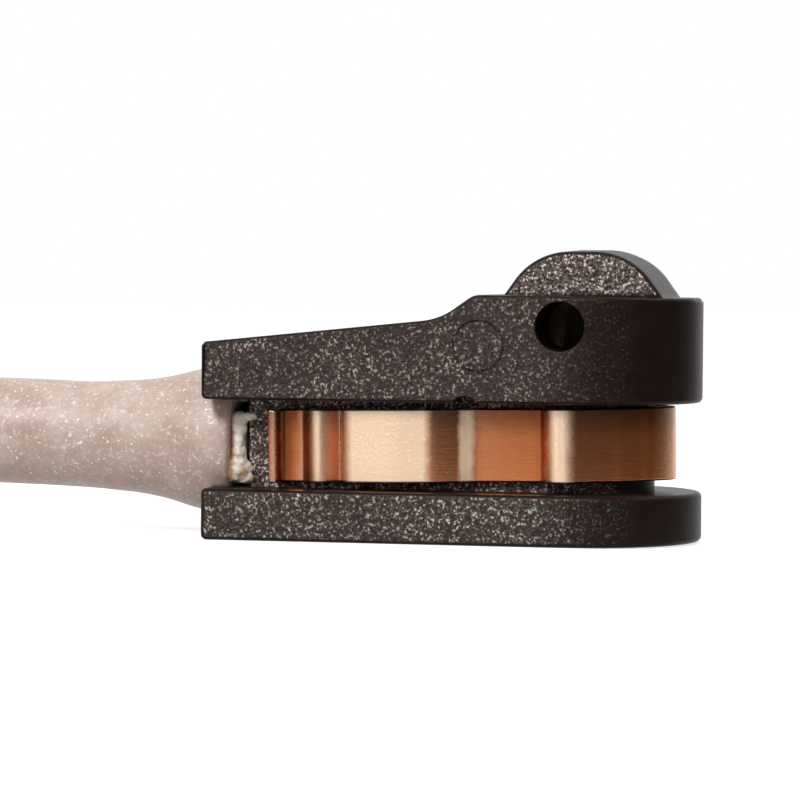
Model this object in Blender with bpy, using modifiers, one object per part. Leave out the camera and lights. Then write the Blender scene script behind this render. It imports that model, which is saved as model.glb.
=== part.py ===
# Brake pad wear sensor: moulded head with a wave spring in its groove, a wire loop in its wear bump,
# a sheathed two-core lead with a flared end, and a plain two-way connector at the far end.
# Metres, +Z up. The head stands on its lower flange, its nose points to +X and its lead leaves to -X.
# Distances along the head are measured from its rear face.

import bpy
import bmesh
from math import acos, ceil, cos, pi, radians, sin, tan
from mathutils import Matrix, Vector

mm = 0.001

# Head
head_length = 21.94 * mm
head_width = 9.0 * mm
lower_flange = 2.3 * mm
groove_height = 3.98 * mm
groove_depth = 2.1 * mm
rear_thickness = 2.56 * mm
front_thickness = 4.77 * mm
front_fall = radians(0.6)
ramp_angle = radians(5.95)
step_angle = radians(35)
step_foot = 10.83 * mm
step_hollow = 3.0 * mm
step_crest = 0.9 * mm
edge_round = 0.2 * mm
corner_round = 0.35 * mm
nose_lift = 0.08 * mm
nose_lift_length = 5.5 * mm
core_rear = 1.6 * mm

# Wear bump
bump_length = 7.18 * mm
bump_height = 2.02 * mm
bump_width = 6.4 * mm
bump_slope = radians(55)
bump_shoulder = 3.08 * mm
bump_root = 0.7 * mm
bump_draft = radians(1.2)
bump_round = 0.2 * mm
bump_from_nose = 4.96 * mm

# Marks left by the mould
pin_hole = 2.15 * mm
pin_hole_depth = 3.75 * mm
pin_hole_from_rear = 16.2 * mm
pin_hole_below_top = 1.36 * mm
ejector_mark = 2.22 * mm
ejector_line = 0.12 * mm
ejector_from_rear = 12.6 * mm
ejector_below_top = 2.25 * mm
notch_diameter = 1.6 * mm
notch_rise = 0.33 * mm
notch_from_rear = 12.0 * mm

# Sheath socket and spigot
spigot_length = 3.9 * mm
spigot_root = 3.5 * mm
spigot_tip = 3.3 * mm
barb_height = 0.12 * mm
socket_depth = 1.0 * mm

# Sheath and its flared end
cable_diameter = 4.9 * mm
flare_length = 6.5 * mm
flare_diameter = 6.7 * mm
flare_straight = 0.3 * mm
flare_tilt = radians(1.0)
flare_bore = 3.1 * mm

# Wire loop
wire_diameter = 1.25 * mm
conductor_diameter = 0.6 * mm
wire_spacing = 1.44 * mm
loop_cover = 0.75 * mm
loop_span = 3.0 * mm
loop_knee = 0.8 * mm
loop_bend = 2.6 * mm

# Retaining spring
strip_thickness = 0.36 * mm
strip_height = 3.28 * mm
strip_round = 0.1 * mm
spring_tilt = radians(1.0)
spring_leg = 3.14 * mm
leg_reach = 1.1 * mm
crest_height = 0.84 * mm
small_crest_height = 0.66 * mm
broad_crest_from = 6.5 * mm
broad_crest_to = 10.4 * mm
front_crest_from = 15.85 * mm
front_crest_to = 16.5 * mm
nose_crest_height = 0.54 * mm

# Coil and tie
coil_diameter = 54.0 * mm
coil_strands = 3
coil_place = Vector((-46.0, -31.9, 0)) * mm
tie_width = 3.6 * mm
tie_thickness = 0.35 * mm
tie_head = 4.6 * mm
tie_angle = radians(300)

# Connector
plug_length = 23.0 * mm
plug_width = 12.4 * mm
plug_height = 8.6 * mm
plug_round = 1.2 * mm
plug_edge = 0.35 * mm
grip_from_rear = 1.6 * mm
grip_pitch = 1.9 * mm
grip_width = 0.9 * mm
grip_height = 0.3 * mm
shroud_depth = 9.5 * mm
shroud_width = 9.6 * mm
shroud_height = 5.8 * mm
shroud_round = 0.8 * mm
partition = 2.4 * mm
chamber_width = 8.8 * mm
chamber_height = 6.4 * mm
blade_pitch = 4.4 * mm
blade_width = 1.5 * mm
blade_thickness = 0.6 * mm
blade_reach = 6.6 * mm
blade_edge = 0.12 * mm
barrel_width = 1.9 * mm
barrel_length = 4.2 * mm
crimp_depth = 2.4 * mm
retainer_thickness = 1.4 * mm
seal_length = 3.6 * mm
cap_thickness = 1.3 * mm
cap_lip = 0.6 * mm
lip_height = 0.25 * mm
lip_width = 0.6 * mm
latch_length = 3.2 * mm
latch_width = 3.4 * mm
latch_height = 1.0 * mm
plug_angle = radians(180)
plug_past = 4.6 * mm
coil_to_plug = 0.55 * mm
lead_in = 3.2 * mm

# Fits
clearance = 0.05 * mm
cable_gap = 0.3 * mm
overlap = 0.2 * mm
margin = 1.0 * mm

# Sizes that follow from the ones above
rear_x = -(head_length - flare_length + cable_gap) / 2
groove_top = lower_flange + groove_height
head_top = groove_top + front_thickness
axis_z = lower_flange + groove_height / 2
half_width = head_width / 2
core_half = half_width - groove_depth
nose_centre = head_length - half_width
core_nose = nose_centre + core_half
bump_centre = head_length - bump_from_nose
wire_radius = wire_diameter / 2
cable_radius = cable_diameter / 2
socket_radius = flare_diameter / 2 + clearance
coil_floor = tie_thickness + 3 * clearance
coil_half = coil_strands * cable_diameter / 2
coil_axis_z = coil_floor + cable_radius

parts = bpy.data.collections.new("Brake pad wear sensor")
cutters = bpy.data.collections.new("Cutters")


# Scene and materials

def clear_scene():
    for obj in list(bpy.data.objects):
        bpy.data.objects.remove(obj, do_unlink=True)
    bpy.context.scene.collection.children.link(parts)
    bpy.context.scene.collection.children.link(cutters)


def material(name, colour, roughness, metallic=0.0):
    mat = bpy.data.materials.new(name)
    mat.use_nodes = True
    shader = mat.node_tree.nodes["Principled BSDF"]
    shader.inputs["Base Color"].default_value = (*colour, 1.0)
    shader.inputs["Roughness"].default_value = roughness
    shader.inputs["Metallic"].default_value = metallic
    mat.diffuse_color = (*colour, 1.0)
    return mat


# Outlines

def along(x):
    return rear_x + x


def corner_arc(before, corner, after, radius, per_turn):
    to_before = (before - corner).normalized()
    to_after = (after - corner).normalized()
    half = acos(max(-1.0, min(1.0, to_before.dot(to_after)))) / 2
    if radius <= 0 or half > pi / 2 - 1e-4:
        return [corner]
    radius = min(radius, (before - corner).length / 2 * tan(half), (after - corner).length / 2 * tan(half))
    start = corner + to_before * radius / tan(half)
    centre = corner + (to_before + to_after).normalized() * radius / sin(half)
    spoke = start - centre
    turn = pi - 2 * half
    if to_before.cross(to_after) > 0:
        turn = -turn
    count = max(1, ceil(abs(turn) / (2 * pi) * per_turn))
    return [centre + Matrix.Rotation(turn * i / count, 2) @ spoke for i in range(count + 1)]


def rounded(points, radii, closed=True, per_turn=40):
    points = [Vector(p) for p in points]
    last = len(points) - 1
    path = []
    for i, corner in enumerate(points):
        if not closed and i in (0, last):
            arc = [corner]
        else:
            arc = corner_arc(points[i - 1], corner, points[(i + 1) % len(points)], radii[i], per_turn)
        path += [p for p in arc if not path or (p - path[-1]).length > 1e-7]
    if closed and (path[0] - path[-1]).length < 1e-7:
        path.pop()
    return path


def box_outline(width, height, radius, per_turn=24):
    x, y = width / 2, height / 2
    return rounded([(-x, -y), (x, -y), (x, y), (-x, y)], [radius] * 4, per_turn=per_turn)


def smooth_path(points, spacing):
    points = [Vector(p) for p in points]
    ends = [2 * points[0] - points[1]] + points + [2 * points[-1] - points[-2]]
    path = []
    for i in range(1, len(ends) - 2):
        a, b, c, d = ends[i - 1:i + 3]
        count = max(1, round((c - b).length / spacing))
        for k in range(count):
            t = k / count
            path.append(0.5 * (2 * b + (c - a) * t + (2 * a - 5 * b + 4 * c - d) * t ** 2
                               + (3 * b - a - 3 * c + d) * t ** 3))
    return path + [points[-1]]


# Solids

plan = Matrix.Identity(4)
side = Matrix.Rotation(pi / 2, 4, "X")
across = Matrix(((0, 0, 1, 0), (1, 0, 0, 0), (0, 1, 0, 0), (0, 0, 0, 1)))
lengthwise = Matrix.Rotation(pi / 2, 4, "Y")


def link(obj, mat=None):
    if mat is None:
        obj.hide_render = True
        obj.display_type = "WIRE"
        cutters.objects.link(obj)
    else:
        obj.data.materials.clear()
        obj.data.materials.append(mat)
        parts.objects.link(obj)
    return obj


def curve_mesh(curve, name, face, mat, frame=Matrix.Identity(4)):
    # the curve's own mesh, with its caps welded
    guide = bpy.data.objects.new(name + "_guide", curve)
    cutters.objects.link(guide)
    bpy.context.view_layer.update()
    evaluated = guide.evaluated_get(bpy.context.evaluated_depsgraph_get())
    mesh = bpy.data.meshes.new_from_object(evaluated)
    mesh.name = name
    bpy.data.objects.remove(guide, do_unlink=True)
    bm = bmesh.new()
    bm.from_mesh(mesh)
    bmesh.ops.remove_doubles(bm, verts=bm.verts, dist=1e-7)
    bmesh.ops.recalc_face_normals(bm, faces=bm.faces)
    bm.to_mesh(mesh)
    bm.free()
    mesh.transform(face)
    obj = link(bpy.data.objects.new(name, mesh), mat)
    obj.matrix_world = frame
    return obj


def slab(name, outline, low, high, face=plan, frame=Matrix.Identity(4), mat=None):
    # an outline drawn on a face and given a thickness from low to high along that face's normal
    curve = bpy.data.curves.new(name, "CURVE")
    curve.dimensions = "2D"
    curve.fill_mode = "BOTH"
    curve.extrude = (high - low) / 2
    spline = curve.splines.new("POLY")
    spline.points.add(len(outline) - 1)
    for point, (x, y) in zip(spline.points, outline):
        point.co = (x, y, 0, 1)
    spline.use_cyclic_u = True
    middle = Matrix.Translation((0, 0, (low + high) / 2))
    return curve_mesh(curve, name, face @ middle, mat, frame)


def tube_curve(name, path, radius, resolution):
    curve = bpy.data.curves.new(name, "CURVE")
    curve.dimensions = "3D"
    curve.bevel_depth = radius
    curve.bevel_resolution = resolution
    curve.use_fill_caps = True
    spline = curve.splines.new("POLY")
    spline.points.add(len(path) - 1)
    for point, place in zip(spline.points, path):
        point.co = (*place, 1)
    return curve


def lathe(name, profile, placement, steps, ring=False, mat=None):
    # profile is (radius, height) from top to bottom, turned about its own upright axis
    mesh = bpy.data.meshes.new(name)
    edges = [(i, i + 1) for i in range(len(profile) - 1)]
    if ring:
        edges.append((len(profile) - 1, 0))
    mesh.from_pydata([(r, 0, z) for r, z in profile], edges, [])
    obj = link(bpy.data.objects.new(name, mesh), mat)
    obj.matrix_world = placement
    screw = obj.modifiers.new("Turn", "SCREW")
    screw.steps = steps
    screw.render_steps = steps
    screw.use_merge_vertices = True
    screw.merge_threshold = 1e-7
    screw.use_smooth_shade = True
    return obj


def rod(name, radius, low, high, placement, sides=32, mat=None):
    mesh = bpy.data.meshes.new(name)
    bm = bmesh.new()
    bmesh.ops.create_cone(bm, cap_ends=True, segments=sides, radius1=radius, radius2=radius,
                          depth=high - low, matrix=Matrix.Translation((0, 0, (low + high) / 2)))
    bm.to_mesh(mesh)
    bm.free()
    obj = link(bpy.data.objects.new(name, mesh), mat)
    obj.matrix_world = placement
    return obj


def combine(obj, operation, *others):
    for other in others:
        step = obj.modifiers.new(other.name, "BOOLEAN")
        step.operation = operation
        step.solver = "EXACT"
        step.object = other


def soften(obj, width, segments=2, angle=radians(40)):
    bevel = obj.modifiers.new("Soft edges", "BEVEL")
    bevel.width = width
    bevel.segments = segments
    bevel.limit_method = "ANGLE"
    bevel.angle_limit = angle
    bevel.use_clamp_overlap = True


# Moulded head

def head_plan(rear, front, half, rear_round):
    corners = [(along(rear), -half), (along(front), -half), (along(front), half), (along(rear), half)]
    return rounded(corners, [rear_round, half, half, rear_round], per_turn=48)


def upper_side():
    rear_top = groove_top + rear_thickness
    foot_z = rear_top + step_foot * tan(ramp_angle)
    crest = step_foot + (head_top - foot_z) / tan(step_angle)
    nose_top = head_top - (head_length - crest) * tan(front_fall)
    corners = [(along(0), groove_top), (along(head_length), groove_top), (along(head_length), nose_top),
               (along(crest), head_top), (along(step_foot), foot_z), (along(0), rear_top)]
    return rounded(corners, [corner_round, 0, corner_round, step_crest, step_hollow, corner_round])


def lower_side():
    # the sole curves up a little under the nose
    start = head_length - nose_lift_length
    corners = [(along(0), 0), (along(start), 0), (along(head_length), nose_lift),
               (along(head_length), lower_flange), (along(0), lower_flange)]
    return rounded(corners, [corner_round, nose_lift_length * nose_lift_length / nose_lift, corner_round, 0,
                             corner_round])


def flange(name, outline, mat=None):
    reach = half_width + margin
    obj = slab(name, outline, -reach, reach, side, mat=mat)
    shape = slab(name + "_plan", head_plan(0, head_length, half_width, edge_round), -margin, head_top + margin)
    combine(obj, "INTERSECT", shape)
    soften(obj, edge_round)
    return obj


def bump_side(inset):
    # side view of the bump: flat top, large round shoulders, straight sides that run down into the head
    foot = bump_length / 2 - inset / sin(bump_slope)
    top = bump_height - inset
    flat_half = foot - top / tan(bump_slope)
    low_half = foot + bump_root / tan(bump_slope)
    corners = [(-low_half, -bump_root), (low_half, -bump_root), (flat_half, top), (-flat_half, top)]
    shoulder = bump_shoulder - inset
    return rounded(corners, [0, 0, shoulder, shoulder], per_turn=60)


def wear_bump():
    # widest at the parting line in its middle and drawn in a little to both sides
    half = bump_width / 2
    drawn_in = (half - bump_round) * tan(bump_draft)
    edge = [(half - bump_round + bump_round * sin(a), drawn_in + bump_round * (1 - cos(a)))
            for a in (pi / 6 * i for i in range(4))]
    sections = [(-y, inset) for y, inset in reversed(edge)] + [(0, 0)] + edge
    loops = [[(p.x, y, p.y) for p in bump_side(inset)] for y, inset in sections]
    count = len(loops[0])
    faces = [list(range(count)), list(range((len(loops) - 1) * count, len(loops) * count))[::-1]]
    for i in range(len(loops) - 1):
        for k in range(count):
            near, after = i * count + k, i * count + (k + 1) % count
            faces.append([near, near + count, after + count, after])
    mesh = bpy.data.meshes.new("bump_block")
    mesh.from_pydata([p for loop in loops for p in loop], [], faces)
    place = Matrix.Translation((along(bump_centre), 0, head_top))
    bump = link(bpy.data.objects.new("bump_block", mesh))
    bump.matrix_world = place
    keep = slab("bump_keep", box_outline(2 * bump_length, 2 * bump_width, 0), -overlap, 2 * bump_height, frame=place)
    combine(bump, "INTERSECT", keep)
    return bump


def spigot():
    root, tip = spigot_root / 2, spigot_tip / 2
    low, high = -spigot_length, core_rear + overlap
    profile = [(0, high), (root, high), (root, 0)]
    for i in range(1, 3):
        z = -spigot_length * i / 3
        r = root + (tip - root) * i / 3
        profile += [(r, z + barb_height), (r + barb_height, z), (r, z - 3 * barb_height)]
    profile += [(tip, low + 2 * barb_height), (tip - 2 * barb_height, low), (0, low)]
    return lathe("spigot", profile, Matrix.Translation((along(0), 0, axis_z)) @ lengthwise, 32)


def loop_path(past_end=0.0):
    # in along one side of the core, up through the head, over in the bump and back along the other side
    y = wire_spacing / 2
    top = head_top + bump_height - loop_cover - wire_radius
    left = bump_centre - loop_span / 2
    right = bump_centre + loop_span / 2
    rise = axis_z + wire_diameter / 2
    middle = (groove_top + head_top) / 2
    bend = [(left - 2 * loop_bend, -y, axis_z), (left - loop_bend, -y, axis_z), (left - loop_knee, -y, rise),
            (left, -y, middle), (left + loop_knee / 4, -y / 2, head_top - wire_radius), (bump_centre, 0, top),
            (right - loop_knee / 4, y / 2, head_top - wire_radius), (right, y, middle),
            (right - loop_knee, y, rise), (right - loop_bend, y, axis_z), (right - 2 * loop_bend, y, axis_z)]
    tail = along(cable_gap - flare_length - past_end)
    curve = smooth_path([(along(bx), by, bz) for bx, by, bz in bend], 0.75 * mm)
    return [Vector((tail, -y, axis_z))] + curve + [Vector((tail, y, axis_z))]


def sensor_body(mat):
    body = flange("sensor_body", upper_side(), mat)
    lower = flange("lower_flange", lower_side())
    core = slab("core", head_plan(core_rear, core_nose, core_half, corner_round),
                lower_flange - overlap, groove_top + overlap)
    combine(body, "UNION", lower, core, wear_bump(), spigot())

    face = Matrix.Translation((along(0), -half_width, 0)) @ side
    pin_z = head_top - pin_hole_below_top
    holes = []
    for name, y, depth in (("pin_hole_near", -half_width, (-margin, pin_hole_depth)),
                           ("pin_hole_far", half_width, (-pin_hole_depth, margin))):
        place = Matrix.Translation((along(pin_hole_from_rear), y, pin_z)) @ side
        low, high = sorted((-depth[0], -depth[1]))
        holes.append(rod(name, pin_hole / 2, low, high, place))
    notch_z = groove_top + notch_rise - notch_diameter / 2
    for name, sign in (("notch_near", -1), ("notch_far", 1)):
        place = Matrix.Translation((along(notch_from_rear), sign * (half_width + core_half) / 2, notch_z)) @ side
        holes.append(rod(name, notch_diameter / 2, -groove_depth / 2 - overlap, groove_depth / 2, place, 24))
    socket = lathe("sheath_socket", [(spigot_root / 2, socket_depth), (socket_radius, socket_depth),
                                     (socket_radius, -margin), (spigot_root / 2, -margin)],
                   Matrix.Translation((along(0), 0, axis_z)) @ lengthwise, 40, ring=True)
    tunnel = curve_mesh(tube_curve("wire_tunnel", loop_path(margin), wire_radius + clearance, 3),
                        "wire_tunnel", plan, None)
    mark = lathe("ejector_ring", [(ejector_mark / 2 + ejector_line / 2 * cos(a), ejector_line / 2 * sin(a))
                                  for a in (pi / 2 - pi / 3 * i for i in range(6))],
                 Matrix.Translation((along(ejector_from_rear), -half_width, head_top - ejector_below_top)) @ side,
                 24, ring=True)
    combine(body, "DIFFERENCE", socket, tunnel, mark, *holes)
    return body


# Wire loop

def loop_wires(copper, sleeve):
    path = loop_path()
    conductor = bpy.data.objects.new("loop_conductor", tube_curve("loop_conductor", path, conductor_diameter / 2, 2))
    link(conductor, copper)
    insulation = curve_mesh(tube_curve("loop_insulation", path, wire_radius, 3), "loop_insulation", plan, sleeve)
    bore = curve_mesh(tube_curve("loop_bore", loop_path(margin), conductor_diameter / 2 + clearance, 2),
                      "loop_bore", plan, None)
    combine(insulation, "DIFFERENCE", bore)


# Retaining spring

def spring_line():
    # middle line of the strip in plan, from the near leg round the nose to the far leg
    seat = core_half + clearance + strip_thickness / 2
    tight = 0.45 * mm
    gap = 0.3 * mm
    near = [(spring_leg, seat + leg_reach, 0), (spring_leg, seat, tight),
            (spring_leg + 1.3 * mm, seat, tight), (spring_leg + 1.95 * mm, seat + small_crest_height, tight),
            (spring_leg + 2.2 * mm, seat + small_crest_height, tight), (spring_leg + 2.75 * mm, seat, tight),
            (broad_crest_from - gap, seat, tight), (broad_crest_from, seat + crest_height - gap / 2, 2 * tight),
            ((broad_crest_from + broad_crest_to) / 2, seat + crest_height, 8 * mm),
            (broad_crest_to, seat + crest_height - gap / 2, 2 * tight),
            (broad_crest_to + 1.3 * mm, seat, 2 * tight),
            (front_crest_from - 2 * gap, seat, tight), (front_crest_from, seat + crest_height, tight),
            (front_crest_to, seat + crest_height, 2 * tight), (nose_centre + 0.2 * mm, seat + 0.02 * mm, 2 * tight)]
    flat = rounded([(x, -y) for x, y, r in near], [r for x, y, r in near], closed=False, per_turn=20)
    nose = []
    count = 12
    for i in range(3, 2 * count - 2):
        angle = pi / 2 * i / count
        rise = max(0.0, 1 - abs(angle - pi / 2) / radians(38))
        radius = seat + nose_crest_height * rise ** 2 * (3 - 2 * rise)
        nose.append(Vector((nose_centre + radius * sin(angle), -radius * cos(angle))))
    far = [Vector((p.x, -p.y)) for p in reversed(flat)]
    return flat + nose + far


def retaining_spring(mat):
    middle = Vector((along((spring_leg + core_nose) / 2), 0, axis_z + 0.04 * mm))
    mesh = bpy.data.meshes.new("retaining_spring")
    bm = bmesh.new()
    line = [bm.verts.new((along(p.x) - middle.x, p.y, -strip_height / 2)) for p in spring_line()]
    edges = [bm.edges.new(pair) for pair in zip(line, line[1:])]
    raised = bmesh.ops.extrude_edge_only(bm, edges=edges)["geom"]
    bmesh.ops.translate(bm, vec=(0, 0, strip_height), verts=[v for v in raised if isinstance(v, bmesh.types.BMVert)])
    bmesh.ops.recalc_face_normals(bm, faces=bm.faces)
    bm.to_mesh(mesh)
    bm.free()
    spring = link(bpy.data.objects.new("retaining_spring", mesh), mat)
    spring.matrix_world = Matrix.Translation(middle) @ Matrix.Rotation(-spring_tilt, 4, "Y")
    wall = spring.modifiers.new("Strip thickness", "SOLIDIFY")
    wall.thickness = strip_thickness
    wall.offset = 0
    wall.use_even_offset = True
    soften(spring, strip_round, 1, radians(60))


# Sheath

def sheath_flare(mat):
    outer, cable = flare_diameter / 2, cable_radius
    front = socket_depth - clearance
    turn = 0.3 * mm
    profile = [(outer - turn, front), (outer - 0.3 * turn, front - 0.3 * turn), (outer, front - turn),
               (outer, -flare_straight)]
    count = 7
    for i in range(1, count + 1):
        t = i / count
        profile.append((cable + (outer - cable) * (1 - t) ** 2.6, -flare_straight - (flare_length - flare_straight) * t))
    bore = flare_bore / 2
    root = spigot_root / 2 + barb_height + 2 * clearance
    tip = root - (spigot_root - spigot_tip) / 2
    profile += [(bore, -flare_length), (bore, -spigot_length - 4 * clearance), (tip, -spigot_length - 2 * clearance),
                (root, 0), (root, front)]
    place = Matrix.Translation((along(0), 0, axis_z)) @ Matrix.Rotation(flare_tilt, 4, "Y") @ lengthwise
    lathe("sheath_flare", profile, place, 32, ring=True, mat=mat)


def sealant_bead(mat):
    low, high = socket_depth + clearance, core_rear - clearance
    height = groove_height - 2 * clearance
    frame = Matrix.Translation((along(0), 0, axis_z))
    bead = slab("sealant_bead", box_outline(2 * core_half, height, 0.5 * mm), low, high, across, frame, mat)
    bore = rod("sealant_bore", spigot_root / 2 + clearance, low - margin, high + margin, frame @ lengthwise, 40)
    combine(bead, "DIFFERENCE", bore)


# Lead, coil and tie. The tail's points are an angle in degrees round the coil, a radius and a height in
# millimetres: it rises from the inner turn, crosses over the others and runs down into the connector.

lead_route = [(-14.45, 0, 4.41), (-18.6, 0, 4.53), (-22, 0, 4.4), (-25, 0, 3.95), (-27.6, 0, 3.5)]
tail_route = [(50, 22.4, 8.1), (70, 24.2, 8.1), (90, 27.4, 8.1), (108, 31.2, 8.1), (124, 35.4, 7.8),
              (138, 38.6, 6.9), (149, 40.4, 5.7), (158, 41.3, 4.9)]


def lead_and_coil(mat):
    lead = [Vector(p) * mm for p in lead_route]
    tail = [coil_place + Vector((r * cos(radians(a)), r * sin(radians(a)), z)) * mm for a, r, z in tail_route]
    tail += [plug_frame @ Vector((x, 0, 0)) for x in (-lead_in, 0, seal_front)]
    for name, points in (("cable_lead", lead), ("cable_tail", tail)):
        path = smooth_path(points, 2.2 * mm)
        link(bpy.data.objects.new(name, tube_curve(name, path, cable_radius, 4)), mat)
    profile = box_outline(2 * coil_half, cable_diameter, cable_radius * 0.94, 12)
    ring = [(coil_diameter / 2 + p.x, p.y) for p in reversed(profile)]
    lathe("cable_coil", ring, Matrix.Translation(coil_place + Vector((0, 0, coil_axis_z))), 44, ring=True, mat=mat)


def coil_tie(mat):
    gap = 2 * clearance
    inner_x, inner_z = 2 * (coil_half + gap), cable_diameter + 2 * gap
    outer_x, outer_z = inner_x + 2 * tie_thickness, inner_z + 2 * tie_thickness
    radius = cable_radius * 0.94 + gap
    frame = (Matrix.Translation(coil_place + Vector((0, 0, coil_axis_z))) @ Matrix.Rotation(tie_angle, 4, "Z")
             @ Matrix.Translation((coil_diameter / 2, 0, 0)))
    tie = slab("coil_tie", box_outline(outer_x, outer_z, radius + tie_thickness, 32),
               -tie_width / 2, tie_width / 2, side, frame, mat)
    hole = slab("tie_inside", box_outline(inner_x, inner_z, radius, 32), -tie_width, tie_width, side, frame)
    head_low = outer_z / 2 - tie_thickness
    head = slab("tie_head", box_outline(tie_head, tie_width * 1.3, 0.5 * mm), head_low, head_low + 0.6 * tie_head,
                plan, frame)
    combine(tie, "DIFFERENCE", hole)
    combine(tie, "UNION", head)


# Connector, drawn along +X from its cable end to its mouth

wall_front = plug_length - shroud_depth
wall_rear = wall_front - partition
seal_front = cap_lip + clearance + seal_length
sheath_end = seal_front + cable_gap
barrel_rear = wall_rear - barrel_length

# it lies along the coil's edge
plug_ahead = Vector((-sin(plug_angle), cos(plug_angle), 0))
plug_offset = coil_diameter / 2 + coil_half + coil_to_plug + plug_width / 2
plug_middle = (coil_place + plug_offset * Vector((cos(plug_angle), sin(plug_angle), 0))
               + plug_past * plug_ahead)
plug_frame = (Matrix.Translation(plug_middle - plug_length / 2 * plug_ahead + Vector((0, 0, plug_height / 2)))
              @ Matrix.Rotation(plug_angle + pi / 2, 4, "Z"))


def block(name, width, height, radius, low, high, mat=None, y=0.0, z=0.0):
    place = plug_frame @ Matrix.Translation((0, y, z))
    return slab(name, box_outline(width, height, radius), low, high, across, place, mat)


def bore(name, radius, low, high, y=0.0, sides=20):
    return rod(name, radius, low, high, plug_frame @ Matrix.Translation((0, y, 0)) @ lengthwise, sides)


def connector_housing(mat):
    housing = block("connector_housing", plug_width, plug_height, plug_round, 0, plug_length, mat)
    soften(housing, plug_edge, 1, radians(60))
    grips = []
    for i in range(3):
        start = grip_from_rear + i * grip_pitch
        grips.append(block(f"grip_rib_{i + 1}", plug_width + 2 * grip_height, plug_height / 2, grip_height,
                           start, start + grip_width))
    low, high = plug_height / 2 - overlap, plug_height / 2 + latch_height
    ramp = [(wall_front, low), (wall_front + latch_length, low), (wall_front + latch_length, low + overlap),
            (wall_front, high)]
    latch = slab("latch_ramp", ramp, -latch_width / 2, latch_width / 2, side, plug_frame)
    shroud = block("shroud_space", shroud_width, shroud_height, shroud_round, wall_front, plug_length + margin)
    chamber = block("seal_chamber", chamber_width, chamber_height, shroud_round, -margin, wall_rear)
    combine(housing, "UNION", *grips, latch)
    combine(housing, "DIFFERENCE", shroud, chamber, *terminal_slots("housing_slot"))


def terminal_slots(name):
    slots = []
    for letter, sign in (("a", 1), ("b", -1)):
        slots.append(block(f"{name}_{letter}", blade_width + 2 * clearance, blade_thickness + 2 * clearance, 0,
                           wall_rear - margin, wall_front + 2 * retainer_thickness, y=sign * blade_pitch / 2))
    return slots


def terminals(tin, sleeve):
    for letter, sign in (("a", 1), ("b", -1)):
        y = sign * blade_pitch / 2
        blade = block("terminal_" + letter, blade_width, blade_thickness, blade_edge,
                      wall_rear - clearance - overlap, wall_front + blade_reach, tin, y=y)
        barrel = block("barrel_" + letter, barrel_width, barrel_width, blade_thickness,
                       barrel_rear, wall_rear - clearance, y=y)
        combine(blade, "UNION", barrel)
        combine(blade, "DIFFERENCE", bore("crimp_bore_" + letter, wire_radius + clearance,
                                          barrel_rear - margin, barrel_rear + crimp_depth, y))
        apart = sign * (wire_radius + 2 * clearance)
        entry = barrel_rear - 2 * cable_gap
        fan = smooth_path([(sheath_end + clearance, apart, 0), ((sheath_end + entry) / 2, (apart + y) / 2, 0),
                           (entry, y, 0)], 0.4 * mm)
        fan += [Vector((barrel_rear + crimp_depth - clearance, y, 0))]
        curve = tube_curve("core_" + letter, fan, wire_radius, 3)
        wire = link(bpy.data.objects.new("core_" + letter, curve), sleeve)
        wire.matrix_world = plug_frame


def connector_seals(seal_mat, clip_mat, housing_mat):
    width, height = chamber_width - 2 * clearance, chamber_height - 2 * clearance
    low = cap_lip + clearance
    seal = block("connector_rear_seal", width - 2 * lip_height, height - 2 * lip_height, shroud_round - lip_height,
                 low, seal_front, seal_mat)
    lips = []
    for i in range(3):
        start = low + lip_width / 2 + i * (seal_length - 2 * lip_width) / 2
        lips.append(block(f"seal_lip_{i + 1}", width, height, shroud_round, start, start + lip_width))
    combine(seal, "UNION", *lips)
    combine(seal, "DIFFERENCE", bore("seal_bore", cable_radius + clearance, 0, seal_front + margin, sides=32))

    cap = block("connector_rear_cap", plug_width, plug_height, plug_round, -cap_thickness - clearance, -clearance,
                housing_mat)
    soften(cap, plug_edge, 1, radians(60))
    collar = block("cap_collar", width, height, shroud_round, -cap_thickness / 2, cap_lip)
    combine(cap, "UNION", collar)
    combine(cap, "DIFFERENCE", bore("cap_bore", cable_radius + cable_gap, -2 * cap_thickness, margin + cap_lip, sides=32))

    retainer = block("terminal_retainer", shroud_width - 4 * clearance, shroud_height - 4 * clearance,
                     shroud_round - 2 * clearance, wall_front + clearance,
                     wall_front + clearance + retainer_thickness, clip_mat)
    combine(retainer, "DIFFERENCE", *terminal_slots("retainer_slot"))


def build():
    clear_scene()
    plastic = material("Black glass-filled nylon", (0.020, 0.018, 0.017), 0.5)
    copper = material("Copper alloy strip", (0.72, 0.42, 0.25), 0.3, 1.0)
    sheath = material("Grey beige sheath", (0.42, 0.36, 0.33), 0.45)
    sealant = material("Cream sealant", (0.78, 0.74, 0.66), 0.6)
    sleeve = material("Wire insulation", (0.16, 0.10, 0.07), 0.45)
    strands = material("Copper strands", (0.75, 0.40, 0.24), 0.35, 1.0)
    tie = material("Black nylon tie", (0.02, 0.02, 0.02), 0.5)
    housing = material("Black connector plastic", (0.025, 0.025, 0.026), 0.45)
    seal = material("Blue grey silicone", (0.18, 0.24, 0.30), 0.6)
    tin = material("Tinned brass", (0.70, 0.68, 0.62), 0.3, 1.0)
    clip = material("Natural nylon", (0.70, 0.68, 0.60), 0.5)
    sensor_body(plastic)
    loop_wires(strands, sleeve)
    retaining_spring(copper)
    sheath_flare(sheath)
    sealant_bead(sealant)
    lead_and_coil(sheath)
    coil_tie(tie)
    connector_housing(housing)
    connector_seals(seal, clip, housing)
    terminals(tin, sleeve)


build()
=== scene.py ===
import bmesh
import bpy
from math import acos, ceil, cos, hypot, pi, radians, sin, tan
from mathutils import Matrix, Vector


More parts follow.
